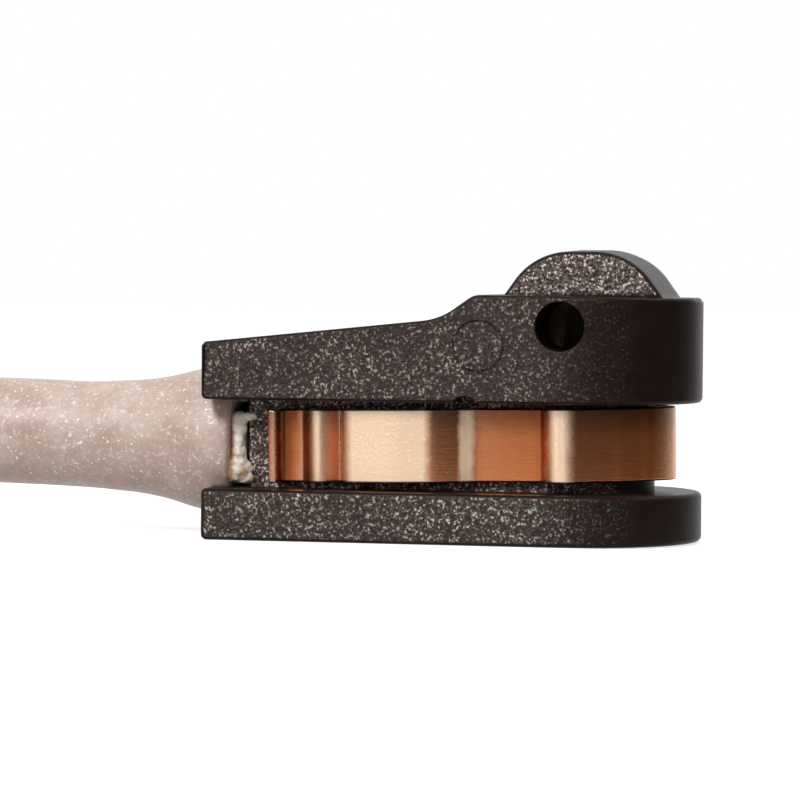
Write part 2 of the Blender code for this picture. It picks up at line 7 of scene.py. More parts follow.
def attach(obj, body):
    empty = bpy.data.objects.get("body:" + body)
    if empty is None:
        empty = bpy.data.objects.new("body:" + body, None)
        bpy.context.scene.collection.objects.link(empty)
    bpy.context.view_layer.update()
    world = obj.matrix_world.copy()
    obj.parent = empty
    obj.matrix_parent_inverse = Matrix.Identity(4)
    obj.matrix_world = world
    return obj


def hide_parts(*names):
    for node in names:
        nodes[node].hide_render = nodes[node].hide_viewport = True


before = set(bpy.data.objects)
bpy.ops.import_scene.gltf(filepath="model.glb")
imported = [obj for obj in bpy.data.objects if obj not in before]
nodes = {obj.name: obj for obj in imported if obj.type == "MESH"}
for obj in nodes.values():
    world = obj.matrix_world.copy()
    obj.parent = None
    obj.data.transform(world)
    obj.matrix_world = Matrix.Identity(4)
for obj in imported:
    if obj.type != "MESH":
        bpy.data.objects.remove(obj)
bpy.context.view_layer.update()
print("frame loaded")

mm = 0.001
# the head's rear face, in mm along X
rearFace = -7.87
headPlace = Matrix.Translation((rearFace, 0, 0))
# turn of an outline that is drawn in X and Z, with its thickness along -Y
upright = Matrix.Rotation(pi / 2, 4, "X")
# and of one drawn in Y and Z, with its thickness along X
endOn = Matrix(((0, 0, 1, 0), (1, 0, 0, 0), (0, 1, 0, 0), (0, 0, 0, 1)))


def deselectAll():
    if bpy.context.object and bpy.context.object.mode != "OBJECT":
        bpy.ops.object.mode_set(mode="OBJECT")
    bpy.ops.object.select_all(action="DESELECT")


def makeActive(obj):
    deselectAll()
    obj.select_set(True)
    bpy.context.view_layer.objects.active = obj


# camera of the photograph, with the object at its left and lower middle

view = {
    "distance": 150.0, "sensor": 36, "clip": (0.005, 5),
    # the picture's 800 pixels show the object at 22.7 pixels per mm
    "focal": 22.7 * 150 / 800 * 36,
    "yaw": radians(11.739), "pitch": radians(2.214), "roll": radians(0.420),
    "target": (1.2567, -4.5, 6.3885),
}


def makeCamera():
    yaw, pitch, roll = view["yaw"], view["pitch"], view["roll"]
    forward = Vector((-sin(yaw) * cos(pitch), cos(yaw) * cos(pitch), -sin(pitch)))
    level = Vector((cos(yaw), sin(yaw), 0))
    up0 = Vector((-sin(yaw) * sin(pitch), cos(yaw) * sin(pitch), cos(pitch)))
    right = cos(roll) * level + sin(roll) * up0
    up = -sin(roll) * level + cos(roll) * up0
    data = bpy.data.cameras.new("camera")
    data.sensor_width = view["sensor"]
    data.lens = view["focal"]
    data.clip_start, data.clip_end = view["clip"]
    camera = bpy.data.objects.new("camera", data)
    bpy.context.scene.collection.objects.link(camera)
    place = (Vector(view["target"]) - forward * view["distance"]) * mm
    camera.matrix_world = Matrix.Translation(place) @ Matrix((right, up, -forward)).transposed().to_4x4()
    bpy.context.scene.camera = camera


makeCamera()


# sheathed lead, from its flared end in the head, round the coil and into the connector

lead = {
    # outer diameter, and length of the whole lead with its coiled part
    "sheath": 4.9, "length": 600,
    "sides": 14, "spacing": 2.0,
    # down from the flare to the floor
    "route": [(-14.35, 0, 4.403), (-18.6, 0, 4.53), (-22, 0, 4.4), (-25, 0, 3.95), (-28, 0, 3.45),
              (-32, 0, 3.08), (-37, 0, 2.96), (-41.5, 0, 2.95)],
    # the coil's radius and height by the angle that the lead has turned through
    "coilCentre": (-46.0, -31.9), "coilEnd": 1033, "coilStep": 6,
    "turns": [(0, 31.9), (290, 31.9), (340, 27.0), (650, 27.0), (700, 22.1), (1040, 22.1)],
    "climb": [(0, 2.95), (985, 2.95), (1030, 8.1)],
    # over the turns to the connector: angle, radius and height
    "tail": [(50, 22.4, 8.1), (70, 24.2, 8.1), (90, 27.4, 8.1), (108, 31.2, 8.1), (124, 35.4, 7.8),
             (138, 38.6, 6.9), (149, 40.4, 5.7), (158, 41.3, 4.9)],
    "plugRear": (-87.1, -25.0, 4.3), "plugAhead": (0, -1, 0), "intoPlug": (-3.2, 0, 4.25),
    # flared end on its tilted line: distance from the head's rear face, and radius
    "flareHeight": 4.29, "flareTilt": 1,
    "flare": [(0.95, 3.05), (0.9, 3.22), (0.78, 3.3), (0.5, 3.34), (0.2, 3.35), (-0.3, 3.33), (-0.8, 3.27),
              (-1.35, 3.155), (-1.9, 3.0), (-2.6, 2.82), (-3.46, 2.67), (-4.2, 2.59), (-4.9, 2.545),
              (-5.8, 2.48), (-6.5, 2.45)],
}


def eased(table, s):
    # value at s in a table of places and values, eased between its rows
    for (s0, v0), (s1, v1) in zip(table, table[1:]):
        if s <= s1:
            t = max(0.0, (s - s0) / (s1 - s0))
            return v0 + (v1 - v0) * t * t * (3 - 2 * t)
    return table[-1][1]


def smoothPath(points, spacing):
    # a curve through the points, with its own points about so far apart
    points = [Vector(p) for p in points]
    ends = [2 * points[0] - points[1]] + points + [2 * points[-1] - points[-2]]
    path = []
    for i in range(1, len(ends) - 2):
        a, b, c, d = ends[i - 1:i + 3]
        steps = max(1, round((c - b).length / spacing))
        for k in range(steps):
            t = k / steps
            path.append(0.5 * (2 * b + (c - a) * t + (2 * a - 5 * b + 4 * c - d) * t ** 2
                               + (3 * b - a - 3 * c + d) * t ** 3))
    return path + [points[-1]]


def leadPath():
    # flare along its own tilted line, lead down to the floor, three turns, then over them to the connector
    tilt = tan(radians(lead["flareTilt"]))
    flare = [(rearFace + x, 0, lead["flareHeight"] - x * tilt) for x, r in lead["flare"]]
    coil = []
    cx, cy = lead["coilCentre"]
    for i in range(0, lead["coilEnd"], lead["coilStep"]):
        angle = radians(90 + i)
        r = eased(lead["turns"], i)
        coil.append((cx + r * cos(angle), cy + r * sin(angle), eased(lead["climb"], i)))
    tail = [(cx + r * cos(radians(a)), cy + r * sin(radians(a)), z) for a, r, z in lead["tail"]]
    tail += [Vector(lead["plugRear"]) + x * Vector(lead["plugAhead"]) for x in lead["intoPlug"]]
    rest = smoothPath(lead["route"] + coil + tail, lead["spacing"])
    radii = [r for x, r in lead["flare"]] + [lead["sheath"] / 2] * (len(rest) - 1)
    return [Vector(p) for p in flare] + rest[1:], radii


def addStraightened(obj, path, ringCount):
    # UV map of the lead laid out straight: millimetres along it, and the share of a turn round it
    reach = [0.0]
    for a, b in zip(path, path[1:]):
        reach.append(reach[-1] + (b - a).length)
    layer = obj.data.uv_layers.new(name="straightened")
    for face in obj.data.polygons:
        steps = [obj.data.loops[i].vertex_index % ringCount for i in face.loop_indices]
        closing = max(steps) - min(steps) > ringCount / 2
        for i, k in zip(face.loop_indices, steps):
            ring = min(obj.data.loops[i].vertex_index // ringCount, len(path) - 1)
            around = k + ringCount if closing and k < ringCount / 2 else k
            layer.data[i].uv = (reach[ring], around / ringCount)


def makeLead():
    path, radii = leadPath()
    curve = bpy.data.curves.new("cable", "CURVE")
    curve.dimensions = "3D"
    # a round of 1 mm, which each point scales to its own radius
    curve.bevel_depth = 1 * mm
    curve.bevel_resolution = lead["sides"]
    curve.use_fill_caps = True
    spline = curve.splines.new("POLY")
    spline.points.add(len(path) - 1)
    for point, place, r in zip(spline.points, path, radii):
        point.co = (*(place * mm), 1)
        point.radius = r
    cable = bpy.data.objects.new("cable", curve)
    bpy.context.scene.collection.objects.link(cable)
    makeActive(cable)
    bpy.ops.object.convert(target="MESH")
    bpy.ops.object.shade_smooth_by_angle(angle=radians(50))
    addStraightened(cable, path, 2 * (lead["sides"] + 2))
    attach(cable, "root")
    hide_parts("sheath_flare", "cable_lead", "cable_coil", "cable_tail")
    return cable, path


cable, cablePath = makeLead()
print("lead made")


# Solid pieces are modelled in millimetres in their own frame, then moved and scaled to their place.

def softCorners(points, radii, perTurn=96, closed=True):
    # an outline with each corner replaced by an arc
    points = [Vector(p).to_2d() for p in points]
    path = []
    for i, corner in enumerate(points):
        before, after, radius = points[i - 1], points[(i + 1) % len(points)], radii[i]
        if radius <= 0 or (not closed and i in (0, len(points) - 1)):
            path.append(corner)
            continue
        toBefore, toAfter = (before - corner).normalized(), (after - corner).normalized()
        half = acos(max(-1.0, min(1.0, toBefore.dot(toAfter)))) / 2
        shorter = min((before - corner).length, (after - corner).length)
        radius = min(radius, shorter / 2 * tan(half))
        start = corner + toBefore * radius / tan(half)
        centre = corner + (toBefore + toAfter).normalized() * radius / sin(half)
        turn = pi - 2 * half
        if toBefore.cross(toAfter) > 0:
            turn = -turn
        steps = max(2, ceil(abs(turn) / (2 * pi) * perTurn))
        path += [centre + Matrix.Rotation(turn * k / steps, 2) @ (start - centre) for k in range(steps + 1)]
    clean = []
    for p in path:
        if not clean or (p - clean[-1]).length > 1e-5:
            clean.append(p)
    if closed and (clean[0] - clean[-1]).length < 1e-5:
        clean.pop()
    return clean


def editMesh(obj, *steps):
    # each step is an operator and its settings, run on the whole mesh
    makeActive(obj)
    bpy.ops.object.mode_set(mode="EDIT")
    bpy.ops.mesh.select_all(action="SELECT")
    for step, settings in steps:
        step(**settings)
    bpy.ops.object.mode_set(mode="OBJECT")


def boxOutline(width, height, corner):
    x, y = width / 2, height / 2
    return softCorners([(-x, -y), (x, -y), (x, y), (-x, y)], [corner] * 4)


def prism(name, outline, low, high, turn=Matrix.Identity(4)):
    # a flat filled curve with a thickness from low to high, made a mesh
    curve = bpy.data.curves.new(name, "CURVE")
    curve.dimensions = "2D"
    curve.fill_mode = "BOTH"
    curve.extrude = (high - low) / 2
    spline = curve.splines.new("POLY")
    spline.points.add(len(outline) - 1)
    for point, p in zip(spline.points, outline):
        point.co = (p.x, p.y, 0, 1)
    spline.use_cyclic_u = True
    obj = bpy.data.objects.new(name, curve)
    bpy.context.scene.collection.objects.link(obj)
    makeActive(obj)
    bpy.ops.object.convert(target="MESH")
    obj.matrix_world = turn @ Matrix.Translation((0, 0, (low + high) / 2))
    bpy.ops.object.transform_apply(location=True, rotation=True, scale=True)
    bpy.ops.object.mode_set(mode="EDIT")
    bpy.ops.mesh.select_all(action="SELECT")
    bpy.ops.mesh.remove_doubles(threshold=1e-5)
    bpy.ops.mesh.dissolve_limited(angle_limit=radians(0.05))
    bpy.ops.mesh.normals_make_consistent(inside=False)
    bpy.ops.object.mode_set(mode="OBJECT")
    return obj


def weld(obj):
    # merge the slivers that a cut or a rounding leaves
    editMesh(obj, (bpy.ops.mesh.remove_doubles, {"threshold": 2e-4}),
             (bpy.ops.mesh.dissolve_degenerate, {"threshold": 1e-4}))


def joinShapes(target, tool, operation):
    # union, cut or common part, with the tool used up
    makeActive(target)
    step = target.modifiers.new("shape", "BOOLEAN")
    step.operation = operation
    step.solver = "EXACT"
    step.object = tool
    bpy.ops.object.modifier_apply(modifier=step.name)
    bpy.data.objects.remove(tool, do_unlink=True)
    weld(target)


def clearBelow(obj, z):
    # cut off all below a height and close the cut
    editMesh(obj, (bpy.ops.mesh.bisect, {"plane_co": (0, 0, z), "plane_no": (0, 0, 1), "clear_inner": True,
                                         "use_fill": True}))


def selectEdges(obj, test):
    makeActive(obj)
    bpy.ops.object.mode_set(mode="EDIT")
    bpy.ops.mesh.select_mode(type="EDGE")
    bpy.ops.mesh.select_all(action="DESELECT")
    bm = bmesh.from_edit_mesh(obj.data)
    bm.normal_update()
    found = 0
    for edge in bm.edges:
        if len(edge.link_faces) == 2 and test(edge, (edge.verts[0].co + edge.verts[1].co) / 2):
            edge.select_set(True)
            found += 1
    bm.select_flush_mode()
    bmesh.update_edit_mesh(obj.data)
    return found


def selectVerts(obj, test):
    makeActive(obj)
    bpy.ops.object.mode_set(mode="EDIT")
    bpy.ops.mesh.select_mode(type="VERT")
    bpy.ops.mesh.select_all(action="DESELECT")
    bm = bmesh.from_edit_mesh(obj.data)
    for vert in bm.verts:
        vert.select_set(test(vert.co))
    bm.select_flush_mode()
    bmesh.update_edit_mesh(obj.data)


def roundEdges(obj, test, width, segments=4):
    if selectEdges(obj, test):
        bpy.ops.mesh.bevel(offset_type="OFFSET", offset=width, segments=segments, profile=0.5,
                           clamp_overlap=False)
    bpy.ops.object.mode_set(mode="OBJECT")
    weld(obj)


def sharp(edge, least=40):
    return edge.calc_face_angle(0) > radians(least)


def planOutline(rear, front, half, corner):
    # a plan with a round nose and softened rear corners
    return softCorners([(rear, -half), (front, -half), (front, half), (rear, half)],
                       [corner, half, half, corner], 160)


def rodShape(name, radius, start, end, vertices=64):
    start, end = Vector(start), Vector(end)
    deselectAll()
    bpy.ops.mesh.primitive_cylinder_add(vertices=vertices, radius=radius, depth=(end - start).length)
    rod = bpy.context.object
    rod.name = name
    turn = (end - start).to_track_quat("Z", "Y").to_matrix().to_4x4()
    rod.matrix_world = Matrix.Translation((start + end) / 2) @ turn
    bpy.ops.object.transform_apply(location=True, rotation=True, scale=True)
    return rod


def settle(obj, node, place=headPlace, angle=32):
    # smooth its faces, move it to its place in metres, and let it stand for its CAD node
    makeActive(obj)
    bpy.ops.object.shade_smooth_by_angle(angle=radians(angle))
    step = obj.modifiers.new("normals", "WEIGHTED_NORMAL")
    step.keep_sharp = True
    step.weight = 80
    bpy.ops.object.modifier_apply(modifier=step.name)
    obj.matrix_world = Matrix.Scale(mm, 4) @ place
    bpy.ops.object.transform_apply(location=True, rotation=True, scale=True)
    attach(obj, "root")
    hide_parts(node)
    return obj


# moulded head, X from its rear face

headSizes = {
    "length": 21.94, "halfWidth": 4.5, "rearCorner": 0.34, "sideCorner": 0.3, "noseCorner": 0.4,
    "lowerTop": 2.3, "upperBottom": 6.28, "top": 11.05, "rearTop": 8.84, "frontFall": 0.6,
    "ramp": 5.95, "step": 35, "stepFoot": 10.83, "stepHollow": 3.0, "stepCrest": 0.9,
    "soleLift": 0.08, "soleLiftFrom": 16.4, "soleBend": 200,
    "grooveRound": 0.24, "topRound": 0.16, "soleRound": 0.24,
    "coreRear": 1.6, "coreNose": 19.84, "coreHalf": 2.4, "coreCorner": 0.3, "coreZ": (1.6, 6.9), "axis": 4.29,
    "holeX": 16.2, "holeZ": 9.69, "holeRadius": 1.075, "holeDepth": 3.75, "holeRim": 0.07,
    "markX": 12.6, "markZ": 8.8, "markRadius": 1.11, "markLine": 0.045,
    "notchX": 12.0, "notchZ": 5.81, "notchRadius": 0.8,
    "socketRadius": 3.4, "socketDepth": 1.0, "spigotRoot": 1.75, "spigotLength": 3.9,
}
bumpSizes = {
    "middle": 16.98, "footHalf": 3.59, "height": 2.02, "slope": 55, "shoulder": 3.08, "root": 0.7,
    "half": 3.2, "rim": 0.24,
    # where the two mould halves met, off the middle plane, and how much smaller the near and far faces are
    "parting": 1.3, "drawnIn": (0.974, 1, 0.955),
}


def flangeShape(name, side):
    # what the side outline and the plan have in common
    h = headSizes
    reach = h["halfWidth"] + 1
    shape = prism(name, side, -reach, reach, upright)
    outline = planOutline(0, h["length"], h["halfWidth"], h["rearCorner"])
    plan = prism(name + "Plan", outline, -1, h["top"] + 1)
    joinShapes(shape, plan, "INTERSECT")
    return shape


def makeUpperFlange():
    h = headSizes
    footZ = h["rearTop"] + h["stepFoot"] * tan(radians(h["ramp"]))
    crest = h["stepFoot"] + (h["top"] - footZ) / tan(radians(h["step"]))
    noseTop = h["top"] - (h["length"] - crest) * tan(radians(h["frontFall"]))
    low = h["upperBottom"]
    side = softCorners([(0, low), (h["length"], low), (h["length"], noseTop), (crest, h["top"]),
                        (h["stepFoot"], footZ), (0, h["rearTop"])],
                       [0, 0, h["noseCorner"], h["stepCrest"], h["stepHollow"], h["sideCorner"]], 120)
    flange = flangeShape("head", side)
    roundEdges(flange, lambda e, m: sharp(e) and abs(m.z - low) < 0.01, h["grooveRound"])
    roundEdges(flange, lambda e, m: sharp(e) and m.z > h["rearTop"] - 0.4, h["topRound"])
    return flange


def makeLowerFlange():
    h = headSizes
    end, lift = h["length"], h["soleLift"]
    # its sole lifts a little towards the nose
    side = softCorners([(0, 0), (h["soleLiftFrom"], 0), (end, lift), (end, h["lowerTop"]),
                        (0, h["lowerTop"])], [0, h["soleBend"], 0, 0, 0], 800)
    flange = flangeShape("lowerFlange", side)
    roundEdges(flange, lambda e, m: sharp(e) and abs(m.z - h["lowerTop"]) < 0.01, h["grooveRound"])
    roundEdges(flange, lambda e, m: sharp(e) and m.z < lift + 0.1, h["soleRound"])
    return flange


def makeBump():
    b, top = bumpSizes, headSizes["top"]
    slope = tan(radians(b["slope"]))
    low, flat = b["footHalf"] + b["root"] / slope, b["footHalf"] - b["height"] / slope
    side = softCorners([(b["middle"] - low, top - b["root"]), (b["middle"] + low, top - b["root"]),
                        (b["middle"] + flat, top + b["height"]), (b["middle"] - flat, top + b["height"])],
                       [0, 0, b["shoulder"], b["shoulder"]], 240)
    bump = prism("bump", side, -b["half"], b["half"], upright)
    editMesh(bump, (bpy.ops.mesh.bisect, {"plane_co": (0, b["parting"], 0), "plane_no": (0, 1, 0)}))
    selectVerts(bump, lambda p: abs(p.y) > b["half"] - 0.01)
    bpy.ops.transform.resize(value=b["drawnIn"], center_override=(b["middle"], 0, top))
    bpy.ops.object.mode_set(mode="OBJECT")
    roundEdges(bump, lambda e, m: sharp(e) and abs(abs(m.y) - b["half"]) < 0.01
               and m.z > top - b["root"] + 0.05, b["rim"], 5)
    clearBelow(bump, top - 0.2)
    return bump


def makeHead():
    h = headSizes
    head = makeUpperFlange()
    lower = makeLowerFlange()
    coreOutline = planOutline(h["coreRear"], h["coreNose"], h["coreHalf"], h["coreCorner"])
    core = prism("core", coreOutline, *h["coreZ"])
    joinShapes(head, core, "UNION")
    joinShapes(head, lower, "UNION")
    joinShapes(head, makeBump(), "UNION")
    # marks of the mould: a pin hole and a small notch on both sides, an ejector's ring on one
    outside = h["halfWidth"] + 1.5
    for sign in (-1, 1):
        hole = rodShape("hole", h["holeRadius"], (h["holeX"], sign * outside, h["holeZ"]),
                        (h["holeX"], sign * (h["halfWidth"] - h["holeDepth"]), h["holeZ"]))
        joinShapes(head, hole, "DIFFERENCE")
        notch = rodShape("notch", h["notchRadius"], (h["notchX"], sign * outside, h["notchZ"]),
                         (h["notchX"], sign * (h["coreHalf"] - 0.1), h["notchZ"]), 48)
        # only its top reaches into the flange, so its lower half is cut away first
        clearBelow(notch, h["upperBottom"] - 0.2)
        joinShapes(head, notch, "DIFFERENCE")
    deselectAll()
    bpy.ops.mesh.primitive_torus_add(major_radius=h["markRadius"], minor_radius=h["markLine"],
                                     major_segments=72, minor_segments=10, rotation=(pi / 2, 0, 0),
                                     location=(h["markX"], -h["halfWidth"], h["markZ"]))
    mark = bpy.context.object
    bpy.ops.object.transform_apply(location=True, rotation=True, scale=True)
    joinShapes(head, mark, "DIFFERENCE")
    rim = h["holeRadius"]
    roundEdges(head, lambda e, m: sharp(e, 60) and abs(abs(m.y) - h["halfWidth"]) < 0.02
               and abs(hypot(m.x - h["holeX"], m.z - h["holeZ"]) - rim) < 0.02, h["holeRim"], 3)
    # rear socket for the sheath, with its spigot
    socket = rodShape("socket", h["socketRadius"], (-1, 0, h["axis"]), (h["socketDepth"], 0, h["axis"]), 96)
    joinShapes(head, socket, "DIFFERENCE")
    spigot = rodShape("spigot", h["spigotRoot"], (-h["spigotLength"], 0, h["axis"]),
                      (h["coreRear"] + 0.2, 0, h["axis"]))
    joinShapes(head, spigot, "UNION")
    return settle(head, "sensor_body")


head = makeHead()
print("head shaped", len(head.data.polygons), "faces")


# retaining spring, a wavy strip round the core

springSizes = {
    "thickness": 0.36, "height": 3.28, "edge": 0.1, "tilt": 1.0, "middleX": 11, "middleZ": 4.33,
    # round the nose, which it touches but for one broad crest: angles from the near side's heading
    "seat": 2.63, "noseCentre": 17.44, "noseFrom": 23.5, "noseStep": 3, "noseSteps": 45,
    "noseCrest": 0.54, "noseSpan": 38,
    # X, distance from the middle plane, radius of the bend
    "bends": [(3.14, 3.73, 0), (3.14, 2.63, 0.45), (4.44, 2.63, 0.4), (5.09, 3.29, 0.3), (5.34, 3.29, 0.3),
              (5.89, 2.63, 0.35), (6.2, 2.63, 0.3), (6.5, 3.32, 0.5), (8.45, 3.47, 8), (10.4, 3.32, 0.9),
              (12.0, 2.63, 1.5), (15.25, 2.63, 0.4), (15.85, 3.47, 0.45), (16.5, 3.47, 0.8),
              (17.64, 2.65, 0.8)],
}


def springLine():
    s = springSizes
    near = softCorners([(x, -y) for x, y, r in s["bends"]], [r for x, y, r in s["bends"]], 160,
                       closed=False)
    nose = []
    for i in range(s["noseSteps"]):
        degrees = s["noseFrom"] + i * s["noseStep"]
        rise = max(0.0, 1 - abs(degrees - 90) / s["noseSpan"])
        angle = radians(degrees)
        radius = s["seat"] + s["noseCrest"] * rise ** 2 * (3 - 2 * rise)
        nose.append(Vector((s["noseCentre"] + radius * sin(angle), -radius * cos(angle))))
    return near + nose + [Vector((p.x, -p.y)) for p in reversed(near)]


def makeSpring():
    s = springSizes
    line = springLine()
    curve = bpy.data.curves.new("spring", "CURVE")
    curve.dimensions = "3D"
    curve.extrude = s["height"] / 2
    spline = curve.splines.new("POLY")
    spline.points.add(len(line) - 1)
    for point, p in zip(spline.points, line):
        point.co = (p.x - s["middleX"], p.y, 0, 1)
    spring = bpy.data.objects.new("spring", curve)
    bpy.context.scene.collection.objects.link(spring)
    makeActive(spring)
    bpy.ops.object.convert(target="MESH")
    wall = spring.modifiers.new("wall", "SOLIDIFY")
    wall.thickness = s["thickness"]
    wall.offset = 0
    wall.use_even_offset = True
    bpy.ops.object.modifier_apply(modifier=wall.name)
    edge = spring.modifiers.new("edge", "BEVEL")
    edge.width = s["edge"]
    edge.segments = 3
    edge.limit_method = "ANGLE"
    edge.angle_limit = radians(60)
    bpy.ops.object.modifier_apply(modifier=edge.name)
    spring.matrix_world = (Matrix.Translation((s["middleX"], 0, s["middleZ"]))
                           @ Matrix.Rotation(radians(-s["tilt"]), 4, "Y"))
    bpy.ops.object.transform_apply(location=True, rotation=True, scale=True)
    return settle(spring, "retaining_spring", angle=50)


spring = makeSpring()
print("spring bent")


# sealant pressed out between the sheath's end and the core, uneven as it was left

sealantSizes = {
    # place and half sizes of each blob: the collar, then its near side from the top down, then its far side
    "blobs": [(1.3, 0, 4.1, 0.42, 2.5, 1.55),
              (1.22, -2.3, 5.32, 0.44, 0.34, 0.34), (1.7, -2.34, 5.46, 0.44, 0.2, 0.18),
              (1.24, -2.36, 4.9, 0.38, 0.3, 0.42), (1.2, -2.38, 4.35, 0.33, 0.3, 0.44),
              (1.24, -2.38, 3.8, 0.38, 0.3, 0.42), (1.22, -2.42, 3.3, 0.48, 0.34, 0.4),
              (1.14, -2.5, 2.9, 0.6, 0.34, 0.38), (0.92, -2.6, 3.12, 0.32, 0.26, 0.48),
              (1.52, -2.4, 2.7, 0.46, 0.3, 0.26), (1.62, -2.38, 3.1, 0.32, 0.26, 0.3),
              (1.35, 2.2, 5.3, 0.4, 0.45, 0.6), (1.5, 2.35, 4.5, 0.34, 0.3, 0.6),
              (1.4, 2.3, 3.4, 0.36, 0.34, 0.7), (1.5, 2.3, 2.75, 0.5, 0.34, 0.3)],
    "reach": 1.3, "stiffness": 6, "threshold": 0.2,
    "fineness": 0.07, "roughness": 0.07, "lump": 0.16,
}


def makeSealant():
    z = sealantSizes
    deselectAll()
    bpy.ops.object.metaball_add(type="BALL", radius=1)
    smear = bpy.context.object
    smear.data.resolution = z["fineness"]
    smear.data.threshold = z["threshold"]
    smear.data.elements.clear()
    for x, y, height, halfX, halfY, halfZ in z["blobs"]:
        blob = smear.data.elements.new(type="ELLIPSOID")
        blob.co = (x, y, height)
        blob.radius = z["reach"]
        blob.size_x, blob.size_y, blob.size_z = halfX, halfY, halfZ
        blob.stiffness = z["stiffness"]
    bpy.context.view_layer.update()
    bpy.ops.object.convert(target="MESH")
    smear = bpy.context.object
    bpy.ops.object.transform_apply(location=True, rotation=True, scale=True)
    lumps = bpy.data.textures.new("lumps", "CLOUDS")
    lumps.noise_scale = z["lump"]
    lumps.noise_depth = 3
    rough = smear.modifiers.new("rough", "DISPLACE")
    rough.texture = lumps
    rough.texture_coords = "LOCAL"
    rough.strength = 2 * z["roughness"]
    bpy.ops.object.modifier_apply(modifier=rough.name)
    smear.name = "sealant"
    return settle(smear, "sealant_bead", angle=80)


sealant = makeSealant()
print("sealant laid")


# cut nylon tie round the coil: X outwards from the coil's centre, Z up, middle of the bundle at the origin

tieSizes = {
    # width, height and corner radius of a rounded outline are given together
    "inside": (14.9, 5.1, 2.4), "wall": 0.35, "width": 3.6, "edge": 0.09,
    "head": (4.6, 4.68, 0.5), "headLow": 2.55, "headTop": 5.31, "headEdge": 0.4,
    "stubFrom": 1.0, "stub": 2.0, "stubWidth": 3.3, "stubThick": 1.0, "stubZ": 3.75,
    "ridgesFrom": 2.4, "ridgePitch": 0.62, "ridgeDepth": 0.2, "ridgeFlanks": (0.1, 0.3),
    "window": (2.2, 2.6, 0.3), "windowDepth": 1.2,
    "pawl": (1.2, 2.2, 0.2), "pawlLow": 1.5, "pawlTop": 0.45, "pawlEdge": 0.15,
}
tiePlace = (Matrix.Translation((-46.0, -31.9, 2.95)) @ Matrix.Rotation(radians(300), 4, "Z")
            @ Matrix.Translation((27.0, 0, 0)))


def makeTie():
    t = tieSizes
    width, height, corner = t["inside"]
    wall, half, top = t["wall"], t["width"] / 2, t["headTop"]
    tie = prism("tie", boxOutline(width + 2 * wall, height + 2 * wall, corner + wall), -half, half, upright)
    roundEdges(tie, lambda e, m: sharp(e) and abs(abs(m.y) - half) < 0.01, t["edge"], 3)
    inside = prism("inside", boxOutline(width, height, corner), -2 * half, 2 * half, upright)
    joinShapes(tie, inside, "DIFFERENCE")
    block = prism("tieHead", boxOutline(*t["head"]), t["headLow"], top)
    roundEdges(block, lambda e, m: sharp(e) and m.z > top - 0.01, t["headEdge"], 4)
    # the strap comes up through the head's window, where the pawl holds it, and its end is cut off short
    window = prism("window", boxOutline(*t["window"]), top - t["windowDepth"], top + 1)
    joinShapes(block, window, "DIFFERENCE")
    pawl = prism("pawl", boxOutline(*t["pawl"]), top - t["pawlLow"], top - t["pawlTop"])
    roundEdges(pawl, lambda e, m: sharp(e) and m.z > top - t["pawlTop"] - 0.05, t["pawlEdge"], 3)
    joinShapes(block, pawl, "UNION")
    reach = t["head"][0] / 2 + t["stub"]
    low = t["stubZ"] - t["stubThick"] / 2
    high = low + t["stubThick"]
    ridges = [(t["stubFrom"], low), (reach, low), (reach, high)]
    steep, gentle = t["ridgeFlanks"]
    x = reach - t["ridgePitch"] / 2
    while x > t["ridgesFrom"]:
        ridges += [(x, high), (x - steep, high - t["ridgeDepth"]), (x - gentle, high - t["ridgeDepth"])]
        x -= t["ridgePitch"]
    ridges.append((t["stubFrom"], high))
    stub = prism("stub", [Vector(p) for p in ridges], -t["stubWidth"] / 2, t["stubWidth"] / 2, upright)
    joinShapes(block, stub, "UNION")
    joinShapes(tie, block, "UNION")
    return settle(tie, "coil_tie", tiePlace)


tie = makeTie()
print("tie made")


# two-way connector: X from its cable end to its mouth, Y across, Z up

plugSizes = {
    # width, height and corner radius of a rounded outline are given together
    "length": 23.0, "body": (12.4, 8.6, 1.2), "edge": 0.4,
    "ribFrom": 1.6, "ribPitch": 1.9, "ribWidth": 0.9, "ribOut": 0.3, "ribHalf": 2.15,
    "ribCorner": 0.28, "ribEdge": 0.15,
    "shroud": (9.6, 5.8, 0.8), "mouthEdge": 0.22, "wallFront": 13.5, "wallRear": 11.1,
    "chamber": (8.8, 6.4, 0.8),
    "blades": (2.2, -2.2), "slot": (1.6, 0.7, 0),
    "latchLength": 3.2, "latchHalf": 1.7, "latchHeight": 1.0, "latchEdge": 0.12,
    "thumb": (5.4, 7.4, 0.9), "thumbAt": 4.9, "thumbDepth": 0.25,
    "capThick": 1.3, "capGap": 0.05, "seamEdge": 0.12, "capHole": 2.75, "holeEdge": 0.2,
    "collar": (8.7, 6.3, 0.8), "collarReach": 0.6,
}
plugPlace = Matrix.Translation((-87.1, -25.0, 4.3)) @ Matrix.Rotation(-pi / 2, 4, "Z")


